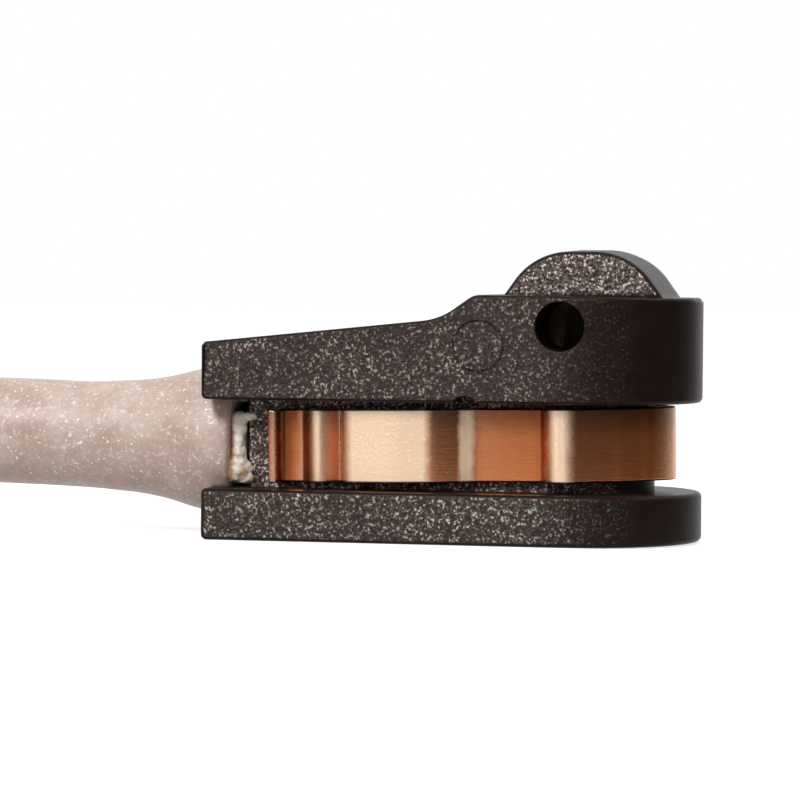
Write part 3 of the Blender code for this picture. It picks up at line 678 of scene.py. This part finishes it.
def makeHousing():
    c = plugSizes
    length, (width, height, corner) = c["length"], c["body"]
    housing = prism("housing", boxOutline(*c["body"]), 0, length, endOn)
    roundEdges(housing, lambda e, m: sharp(e) and min(m.x, length - m.x) < 0.01, c["edge"], 4)
    for i in range(3):
        middle = c["ribFrom"] + i * c["ribPitch"] + c["ribWidth"] / 2
        rib = prism("rib", boxOutline(c["ribWidth"], width + 2 * c["ribOut"], c["ribCorner"]), -c["ribHalf"],
                    c["ribHalf"], Matrix.Translation((middle, 0, 0)))
        roundEdges(rib, lambda e, m: sharp(e) and abs(abs(m.z) - c["ribHalf"]) < 0.01, c["ribEdge"], 3)
        joinShapes(housing, rib, "UNION")
    top, start = height / 2, c["wallFront"]
    end = start + c["latchLength"]
    ramp = [(start, top - 0.3), (end, top - 0.3), (end, top + 0.05), (start, top + c["latchHeight"])]
    latch = prism("latch", [Vector(p) for p in ramp], -c["latchHalf"], c["latchHalf"], upright)
    roundEdges(latch, lambda e, m: sharp(e) and m.z > top, c["latchEdge"], 3)
    joinShapes(housing, latch, "UNION")
    # cut out of it: a shallow thumb pad on top, the shroud, the terminals' chamber, a slot for each blade
    cuts = [("thumb", top - c["thumbDepth"], top + 1, Matrix.Translation((c["thumbAt"], 0, 0))),
            ("shroud", c["wallFront"], length + 1, endOn), ("chamber", -1, c["wallRear"], endOn)]
    cuts += [("slot", c["wallRear"] - 1, c["wallFront"] + 1, Matrix.Translation((0, y, 0)) @ endOn)
             for y in c["blades"]]
    for name, low, high, turn in cuts:
        joinShapes(housing, prism(name, boxOutline(*c[name]), low, high, turn), "DIFFERENCE")
    roundEdges(housing, lambda e, m: sharp(e, 60) and abs(m.x - length) < 0.01
               and abs(m.y) < c["shroud"][0] / 2 + 0.01, c["mouthEdge"], 3)
    return settle(housing, "connector_housing", plugPlace)


def makeCap():
    c = plugSizes
    front, rear = -c["capGap"], -c["capGap"] - c["capThick"]
    cap = prism("cap", boxOutline(*c["body"]), rear, front, endOn)
    roundEdges(cap, lambda e, m: sharp(e) and m.x < rear + 0.01, c["edge"], 4)
    roundEdges(cap, lambda e, m: sharp(e) and m.x > front - 0.01, c["seamEdge"], 2)
    joinShapes(cap, prism("collar", boxOutline(*c["collar"]), rear / 2, c["collarReach"], endOn), "UNION")
    joinShapes(cap, rodShape("capHole", c["capHole"], (-3, 0, 0), (2, 0, 0), 96), "DIFFERENCE")
    roundEdges(cap, lambda e, m: sharp(e, 60) and abs(m.x - rear) < 0.01
               and hypot(m.y, m.z) < c["capHole"] + 0.1, c["holeEdge"], 3)
    return settle(cap, "connector_rear_cap", plugPlace)


housing = makeHousing()
cap = makeCap()
print("connector made")


# materials

def addNode(tree, kind, settings=None, **links):
    # a node with its settings; inputs, by name or by number as in0, in1, are set to values or linked
    node = tree.nodes.new(kind)
    for key, value in (settings or {}).items():
        setattr(node, key, value)
    for key, value in links.items():
        name = key.replace("_", " ")
        byNumber = name.startswith("in") and name[2:].isdigit()
        socket = node.inputs[int(name[2:]) if byNumber else name]
        if isinstance(value, bpy.types.NodeSocket):
            tree.links.new(value, socket)
        else:
            socket.default_value = value
    return node


def linear(hexColour):
    channels = [int(hexColour[i:i + 2], 16) / 255 for i in (1, 3, 5)]
    return tuple(c / 12.92 if c <= 0.04045 else ((c + 0.055) / 1.055) ** 2.4 for c in channels) + (1.0,)


def newMaterial(name, **sockets):
    mat = bpy.data.materials.new(name)
    mat.use_nodes = True
    shader = mat.node_tree.nodes["Principled BSDF"]
    for key, value in sockets.items():
        shader.inputs[key.replace("_", " ")].default_value = value
    return mat, mat.node_tree, shader


def calc(tree, operation, a, b=0.0, c=0.0):
    return addNode(tree, "ShaderNodeMath", {"operation": operation}, in0=a, in1=b, in2=c).outputs[0]


def times(tree, a, b):
    return calc(tree, "MULTIPLY", a, b)


def timesPlus(tree, a, b, c):
    return calc(tree, "MULTIPLY_ADD", a, b, c)


def ramp(tree, value, low, high, start=0.0, end=1.0):
    # eased step of a value from low to high
    return addNode(tree, "ShaderNodeMapRange", {"interpolation_type": "SMOOTHSTEP"}, Value=value,
                   From_Min=low, From_Max=high, To_Min=start, To_Max=end).outputs[0]


def blend(tree, share, a, b):
    # two colours mixed by a share
    return addNode(tree, "ShaderNodeMix", {"data_type": "RGBA"}, in0=share, in6=a, in7=b).outputs[2]


def choose(tree, share, a, b):
    # two numbers mixed by a share
    return addNode(tree, "ShaderNodeMix", {"data_type": "FLOAT"}, in0=share, in2=a, in3=b).outputs[0]


def grain(tree, place, size, detail=3.0, roughness=0.6):
    # soft noise whose lumps are about size mm
    return addNode(tree, "ShaderNodeTexNoise", Vector=place, Scale=0.6 / (size * mm), Detail=detail,
                   Roughness=roughness).outputs[0]


def objectPlace(tree):
    return addNode(tree, "ShaderNodeTexCoord").outputs["Object"]


def axesOf(tree, vector):
    return addNode(tree, "ShaderNodeSeparateXYZ", Vector=vector).outputs


def relief(tree, shader, height, depth, strength=1.0):
    # surface relief of so many mm
    bump = addNode(tree, "ShaderNodeBump", Strength=strength, Distance=depth * mm, Height=height)
    tree.links.new(bump.outputs["Normal"], shader.inputs["Normal"])


def finish(tree, shader, colour, roughness):
    tree.links.new(colour, shader.inputs["Base Color"])
    tree.links.new(roughness, shader.inputs["Roughness"])


nylonFinish = {
    "pit": "#130b09", "skin": "#241a16", "crest": "#6b5e58", "fleck": "#e8ded6",
    "sheen": (0.92, 0.80, 0.76, 1),
    "grainSize": 0.07, "grainDepth": 0.08, "grainRough": 0.42, "drawnRough": 0.36,
    # the grain fades to a trace along X, and is full again above the bump's foot
    "fadeFrom": rearFace + 14.2, "fadeTo": rearFace + 18.0, "trace": 0.12, "bumpFoot": 11.0,
    # how much painted sheen its grain's tops get on the flanges, and how much more on the bump, the lower
    # flange and the core
    "wearSize": 2.2, "wear": (0.5, 0.9), "bumpSheen": 3.2, "lowerSheen": 0.4, "coreSheen": 1.7,
}


def sparkErodedNylon():
    # glass-filled nylon from a spark-eroded mould: leathery grain with painted sparkle on the flat sides,
    # strongest on the bump and fading towards the nose, smooth along the draw
    n = nylonFinish
    mat, tree, shader = newMaterial("Glass-filled nylon, spark-eroded mould", IOR=1.53,
                                    Specular_Tint=n["sheen"])
    place = objectPlace(tree)
    axes = axesOf(tree, place)
    facing = axesOf(tree, addNode(tree, "ShaderNodeNewGeometry").outputs["Normal"])
    # only the sides that face across the head are grained, but not the pin hole's floor near the middle plane
    off = calc(tree, "ABSOLUTE", axes["Y"])
    flat = times(tree, ramp(tree, calc(tree, "ABSOLUTE", facing["Y"]), 0.86, 0.985),
                 ramp(tree, off, 1.2 * mm, 2.0 * mm))
    onBump = ramp(tree, axes["Z"], n["bumpFoot"] * mm, (n["bumpFoot"] + 0.25) * mm)
    alongFlange = ramp(tree, axes["X"], n["fadeFrom"] * mm, n["fadeTo"] * mm, 1.0, n["trace"])
    grained = times(tree, flat, calc(tree, "MAXIMUM", onBump, alongFlange))
    lumps = grain(tree, place, n["grainSize"], 3.0, 0.55)
    wide = grain(tree, place, 0.5, 3.0)
    pits = addNode(tree, "ShaderNodeTexVoronoi", {"feature": "DISTANCE_TO_EDGE"}, Vector=place,
                   Scale=0.7 / (n["grainSize"] * mm)).outputs["Distance"]
    leather = timesPlus(tree, lumps, 1.4, timesPlus(tree, pits, -0.35, wide))
    strength = calc(tree, "MAXIMUM", timesPlus(tree, grained, 0.9, 0.08), times(tree, onBump, 0.5))
    relief(tree, shader, leather, n["grainDepth"], strength)
    # the grain's tops are painted pale, with painted glints, for the sparkle of lit grain
    patch = ramp(tree, grain(tree, place, n["wearSize"], 4.0), 0.40, 0.62, *n["wear"])
    lower = ramp(tree, axes["Z"], 2.3 * mm, 2.7 * mm, n["lowerSheen"], 0.0)
    core = ramp(tree, off, 2.6 * mm, 2.9 * mm, n["coreSheen"], 0.0)
    wear = calc(tree, "ADD", timesPlus(tree, onBump, n["bumpSheen"], patch), calc(tree, "ADD", lower, core))
    sheenOnGrain = times(tree, grained, wear)
    raised = ramp(tree, lumps, 0.36, 0.64)
    specks = ramp(tree, lumps, 0.56, 0.70)
    colour = blend(tree, wide, linear(n["pit"]), linear(n["skin"]))
    # painted highlight: pale grain tops (crest) and white glints (fleck), by the painted sheen mask
    colour = blend(tree, times(tree, times(tree, raised, sheenOnGrain), 0.5), colour, linear(n["crest"]))
    glint = calc(tree, "MINIMUM", times(tree, times(tree, specks, sheenOnGrain), 0.68), 1.0)
    colour = blend(tree, glint, colour, linear(n["fleck"]))
    # the drawn sides are scuffed dull, the grain's tops keep their gloss
    tree.links.new(timesPlus(tree, grained, 0.22, 0.10), shader.inputs["Specular IOR Level"])
    rough = timesPlus(tree, grained, n["grainRough"] - n["drawnRough"], n["drawnRough"])
    finish(tree, shader, colour, timesPlus(tree, specks, -0.12, rough))
    return mat


stripFinish = {
    "polishedTone": "#e28450", "highlightTone": "#f5d5b6", "fleck": "#fff0dd",
    "darkReflectionTone": "#8a4c2b", "flangeShadowTone": "#6b3a22",
    # how far the strip is painted pale as painted highlight, where its crests are also scuffed rougher, by
    # the distance from the head's rear face in mm
    "scuffAndHighlight": [(2.7, 0.5), (2.95, 0.15), (3.25, 0.45), (3.4, 0.0), (4.05, 0.0), (4.25, 0.3), (4.5, 0.4),
               (4.65, 0.3), (4.85, 1.0), (5.15, 1.0), (5.35, 0.55), (5.9, 0.5), (6.15, 0.2), (6.5, 0.8),
               (6.7, 1.0), (10.0, 1.0), (10.35, 0.2), (11.4, 0.1), (11.62, 1.0), (11.95, 0.95),
               (12.25, 0.1), (15.2, 0.0), (15.55, 0.75), (15.9, 1.0), (16.4, 0.95), (16.85, 0.1),
               (19.9, 0.0), (20.5, 0.35), (21.2, 0.8)],
    # and how far it is painted brown, as painted dark reflection
    "darkReflection": [(2.85, 0.6), (3.1, 0.25), (3.4, 0.85), (3.75, 0.8), (4.0, 0.2), (4.5, 0.3), (5.9, 0.1),
               (6.1, 0.55), (6.4, 0.2), (6.7, 0.0), (10.3, 0.15), (11.5, 0.3), (11.7, 0.0), (12.25, 0.35),
               (12.6, 0.05), (14.9, 0.0), (15.4, 0.7), (15.7, 0.1), (16.8, 0.3), (20.3, 0.2), (21.0, 0.0)],
    # it is painted darker towards its top, as painted shadow of the upper flange
    "flangeShadowFrom": 4.5, "flangeShadowTo": 6.0, "flangeShadowDepth": 0.85,
    "wobble": 0.15, "polished": 0.14, "scuffed": 0.42, "lineSize": 0.05, "grainSize": 0.085,
}


def zoneRamp(tree, share, zones, span):
    # a value that changes along the strip, from its places and values
    steps = addNode(tree, "ShaderNodeValToRGB", Fac=share)
    stops = steps.color_ramp.elements
    for i, (x, value) in enumerate(zones):
        stop = stops.new(x / span) if i else stops[0]
        stop.position = x / span
        stop.color = (value, value, value, 1)
    stops.remove(stops[-1])
    return steps.outputs["Color"]


def rolledCopper():
    # copper-alloy strip, rolled and bent: deep orange where it is polished, scuffed rougher on its crests,
    # with painted highlights and glints on its crests and bends, painted dark reflections beside them and a
    # painted shadow at its top
    f = stripFinish
    mat, tree, shader = newMaterial("Copper-alloy strip, rolled", Metallic=1.0)
    place = objectPlace(tree)
    axes = axesOf(tree, place)
    span = headSizes["length"]
    uneven = timesPlus(tree, grain(tree, place, 0.35, 5.0, 0.75), 2 * f["wobble"] * mm, -f["wobble"] * mm)
    along = calc(tree, "SUBTRACT", calc(tree, "ADD", axes["X"], uneven), rearFace * mm)
    share = calc(tree, "DIVIDE", along, span * mm)
    scuffAndHighlight = zoneRamp(tree, share, f["scuffAndHighlight"], span)
    # painted dark reflection, in brown stripes along the strip
    darkReflection = zoneRamp(tree, share, f["darkReflection"], span)
    # painted shadow of the upper flange, darker towards the strip's top
    flangeShadow = ramp(tree, calc(tree, "ADD", axes["Z"], uneven), f["flangeShadowFrom"] * mm, f["flangeShadowTo"] * mm,
                  0.0, f["flangeShadowDepth"])
    stretched = addNode(tree, "ShaderNodeMapping", Vector=place, Scale=(0.06, 0.06, 1.0)).outputs[0]
    lines = grain(tree, stretched, f["lineSize"], 3.0, 0.7)
    grit = grain(tree, place, f["grainSize"], 3.0, 0.75)
    colour = linear(f["polishedTone"])
    # over the copper's own tone: painted dark reflections, painted shadow at the top, painted highlights and
    # painted glints
    for amount, tone in ((darkReflection, "darkReflectionTone"), (flangeShadow, "flangeShadowTone"), (scuffAndHighlight, "highlightTone"),
                         (times(tree, ramp(tree, grit, 0.56, 0.72), scuffAndHighlight), "fleck")):
        colour = blend(tree, amount, colour, linear(f[tone]))
    rough = timesPlus(tree, scuffAndHighlight, f["scuffed"] - f["polished"], f["polished"])
    finish(tree, shader, colour, timesPlus(tree, lines, 0.08, rough))
    relief(tree, shader, timesPlus(tree, grit, scuffAndHighlight, times(tree, lines, 0.25)), 0.03, 0.6)
    return mat


sheathFinish = {
    "base": "#cdb8ac", "pale": "#e4d6cc", "shade": "#b89e92", "fleck": "#fbf6f0",
    "ribPitch": 0.62, "ribTurns": 9.0, "rough": 0.36,
    "depth": 0.08, "scatter": (0.6 * mm, 0.35 * mm, 0.25 * mm),
}


def extrudedSheath():
    # extruded polyurethane sheath: satin, faintly mottled, with soft slanting ridges from the twisted cores
    f = sheathFinish
    mat, tree, shader = newMaterial("Polyurethane sheath, extruded", Specular_IOR_Level=0.5, IOR=1.5,
                                    Subsurface_Weight=f["depth"], Subsurface_Radius=f["scatter"],
                                    Subsurface_Scale=1.0)
    place = objectPlace(tree)
    laid = axesOf(tree, addNode(tree, "ShaderNodeUVMap", {"uv_map": "straightened"}).outputs[0])
    phase = timesPlus(tree, laid["Y"], f["ribTurns"], calc(tree, "DIVIDE", laid["X"], f["ribPitch"]))
    ribs = timesPlus(tree, calc(tree, "SINE", times(tree, phase, 2 * pi)), 0.5, 0.5)
    ribs = times(tree, ribs, ramp(tree, grain(tree, place, 2.4, 2.0), 0.4, 0.62))
    mottle = ramp(tree, grain(tree, place, 1.5, 4.0, 0.65), 0.35, 0.68)
    fine = grain(tree, place, 0.14, 3.0, 0.7)
    dots = ramp(tree, grain(tree, place, 0.11, 1.0), 0.66, 0.76)
    colour = blend(tree, mottle, linear(f["shade"]), linear(f["base"]))
    colour = blend(tree, ramp(tree, fine, 0.5, 0.75), colour, linear(f["pale"]))
    colour = blend(tree, dots, colour, linear(f["fleck"]))
    finish(tree, shader, colour, timesPlus(tree, mottle, 0.12, f["rough"]))
    relief(tree, shader, timesPlus(tree, ribs, 0.35, timesPlus(tree, fine, 0.35, mottle)), 0.05, 0.45)
    return mat


sealantFinish = {"chalk": "#efe8da", "grime": "#a58058", "grimeSize": 0.6}


def driedSealant():
    # silicone sealant, smeared and dried: chalky cream, stained brown behind and low down
    f = sealantFinish
    mat, tree, shader = newMaterial("Silicone sealant, smeared")
    place = objectPlace(tree)
    axes = axesOf(tree, place)
    behind = ramp(tree, axes["X"], (rearFace + 0.85) * mm, (rearFace + 1.3) * mm, 0.26, 0.0)
    low = ramp(tree, axes["Z"], 2.6 * mm, 5.0 * mm, 0.1, 0.0)
    uneven = calc(tree, "ADD", grain(tree, place, f["grimeSize"], 3.0, 0.6), calc(tree, "ADD", behind, low))
    grime = ramp(tree, uneven, 0.52, 0.78)
    colour = blend(tree, grime, linear(f["chalk"]), linear(f["grime"]))
    finish(tree, shader, colour, ramp(tree, grime, 0.0, 1.0, 0.55, 0.75))
    relief(tree, shader, grain(tree, place, 0.12, 4.0, 0.7), 0.05, 0.8)
    return mat


def speckled(name, dark, light, size, rough, depth, metallic=0.0, spread=0.08):
    # a mould or draw finish in two near tones, with fine relief of its own grain size in mm
    mat, tree, shader = newMaterial(name, Metallic=metallic)
    place = objectPlace(tree)
    coarse = ramp(tree, grain(tree, place, 8 * size, 3.0), 0.35, 0.65)
    fine = grain(tree, place, size, 4.0, 0.7)
    mixed = timesPlus(tree, coarse, 0.5, times(tree, fine, 0.6))
    finish(tree, shader, blend(tree, mixed, linear(dark), linear(light)),
           timesPlus(tree, coarse, spread, rough))
    relief(tree, shader, fine, depth, 0.6)
    return mat


# black PBT from a finely eroded mould: even satin grain that catches light as small dots
connectorPlastic = speckled("PBT housing, fine eroded mould", "#1d1d1f", "#323236", 0.16, 0.40, 0.03)
# cut nylon tie: smooth and a little waxy, with slow changes in its gloss
tieNylon = speckled("Nylon tie, moulded", "#161617", "#2a2a2b", 0.25, 0.34, 0.012, spread=0.14)
# tinned brass blades: bright and slightly clouded along the draw
tinnedBrass = speckled("Brass, tin plated", "#b9b5aa", "#dad7cf", 0.12, 0.22, 0.008, 1.0, 0.16)
# core insulation: dull brown, faintly ribbed by its strands
coreSleeve = speckled("Core insulation, extruded", "#3f3026", "#5a4636", 0.1, 0.5, 0.02)
# drawn copper strands: warm and bright with dull streaks
drawnCopper = speckled("Copper strands, drawn", "#a8623c", "#dc9668", 0.08, 0.3, 0.01, 1.0)
# soft silicone seal: matt blue grey, slightly dusty
sealRubber = speckled("Silicone seal, moulded", "#5f6f80", "#8290a0", 0.2, 0.55, 0.02)
# undyed nylon retainer: milky, with a faint warm tone
paleNylon = speckled("Natural nylon, moulded", "#cfc9b6", "#e6e2d4", 0.2, 0.45, 0.015)

made = ((head, sparkErodedNylon()), (spring, rolledCopper()), (cable, extrudedSheath()),
        (sealant, driedSealant()), (tie, tieNylon), (housing, connectorPlastic), (cap, connectorPlastic))
carried = (("loop_insulation", coreSleeve), ("core_a", coreSleeve), ("core_b", coreSleeve),
           ("loop_conductor", drawnCopper), ("terminal_a", tinnedBrass), ("terminal_b", tinnedBrass),
           ("connector_rear_seal", sealRubber), ("terminal_retainer", paleNylon))
for obj, mat in made + tuple((nodes[name], mat) for name, mat in carried):
    obj.data.materials.clear()
    obj.data.materials.append(mat)
print("materials given")


# studio: bright all round and from above, dark where the camera stands

studio = {
    "key": {"place": (-35, -105, 95), "size": (36, 36), "power": 0.13},
    "fill": {"place": (60, 30, 150), "size": (80, 80), "power": 0.06},
    "aim": (2, 0, 6),
    # strength of the world on matt surfaces, and what gloss sees of it all round and in the dim patch
    "ambient": 0.42, "mirrored": 1.0, "dim": 0.10,
    # the dim patch lies low in front, to the right of the camera
    "dimHeading": (0.819, -0.574), "dimFrom": -0.1, "dimTo": 0.9, "dimLow": 0.12, "dimHigh": 0.42,
    # the floor ends in front of the object and fades on that same side, for gloss only
    "floorLow": -85, "floorFar": 900, "shadeFrom": 12, "shadeTo": 40, "floorDim": 0.15,
    "paper": 0.6, "lift": 0.72,
}


def towardsDim(tree, axes):
    # how far a place or a heading lies on the dim patch's side
    toRight, toFront = studio["dimHeading"]
    return timesPlus(tree, axes["X"], toRight, times(tree, axes["Y"], toFront))


def makeWorld():
    world = bpy.data.worlds.new("studio")
    bpy.context.scene.world = world
    world.use_nodes = True
    tree = world.node_tree
    background = tree.nodes["Background"]
    background.inputs["Color"].default_value = (1, 1, 1, 1)
    rays = addNode(tree, "ShaderNodeLightPath").outputs
    seen = calc(tree, "MAXIMUM", rays["Is Camera Ray"], rays["Is Transmission Ray"])
    heading = axesOf(tree, addNode(tree, "ShaderNodeTexCoord").outputs["Generated"])
    patch = times(tree, ramp(tree, towardsDim(tree, heading), studio["dimFrom"], studio["dimTo"]),
                  ramp(tree, heading["Z"], studio["dimLow"], studio["dimHigh"], 1.0, 0.0))
    mirrored = timesPlus(tree, patch, studio["dim"] - studio["mirrored"], studio["mirrored"])
    strength = choose(tree, seen, choose(tree, rays["Is Glossy Ray"], studio["ambient"], mirrored), 1.0)
    tree.links.new(strength, background.inputs["Strength"])


def makeLamps():
    aim = Vector(studio["aim"])
    for name in ("key", "fill"):
        box = studio[name]
        data = bpy.data.lights.new(name, "AREA")
        data.shape = "RECTANGLE"
        data.size = box["size"][0] * mm
        data.size_y = box["size"][1] * mm
        data.energy = box["power"]
        lamp = bpy.data.objects.new(name, data)
        bpy.context.scene.collection.objects.link(lamp)
        place = Vector(box["place"])
        lamp.location = place * mm
        lamp.rotation_mode = "QUATERNION"
        lamp.rotation_quaternion = (aim - place).to_track_quat("-Z", "Y")


def makeFloor():
    # it ends in front of the object, below the camera's view, so that the strip doesn't mirror it
    low, far = studio["floorLow"] * mm, studio["floorFar"] * mm
    deselectAll()
    bpy.ops.mesh.primitive_plane_add(size=2)
    floor = bpy.context.object
    floor.name = "floor"
    for vert in floor.data.vertices:
        vert.co.y = low if vert.co.y < 0 else far
    paper = studio["paper"]
    mat, tree, shader = newMaterial("White paper sweep", Base_Color=(paper, paper, paper, 1), Roughness=0.9)
    rays = addNode(tree, "ShaderNodeLightPath").outputs
    # what gloss sees of the paper fades towards the dim side
    glow = ramp(tree, towardsDim(tree, axesOf(tree, objectPlace(tree))), studio["shadeFrom"] * mm,
                studio["shadeTo"] * mm, 1.0, studio["floorDim"])
    white = addNode(tree, "ShaderNodeEmission", Color=(1, 1, 1, 1), Strength=glow)
    glossy = calc(tree, "MAXIMUM", rays["Is Glossy Ray"], rays["Is Transmission Ray"])
    mixed = addNode(tree, "ShaderNodeMixShader", in0=glossy, in1=shader.outputs[0], in2=white.outputs[0])
    # a share of the same white for the camera keeps the paper white and leaves a faint shadow
    lift = addNode(tree, "ShaderNodeEmission", Color=(1, 1, 1, 1),
                   Strength=times(tree, rays["Is Camera Ray"], studio["lift"]))
    both = addNode(tree, "ShaderNodeAddShader", in0=mixed.outputs[0], in1=lift.outputs[0])
    tree.links.new(both.outputs[0], tree.nodes["Material Output"].inputs["Surface"])
    floor.data.materials.append(mat)


makeWorld()
makeLamps()
makeFloor()
bpy.context.scene.view_settings.view_transform = "Standard"
print("studio lit")
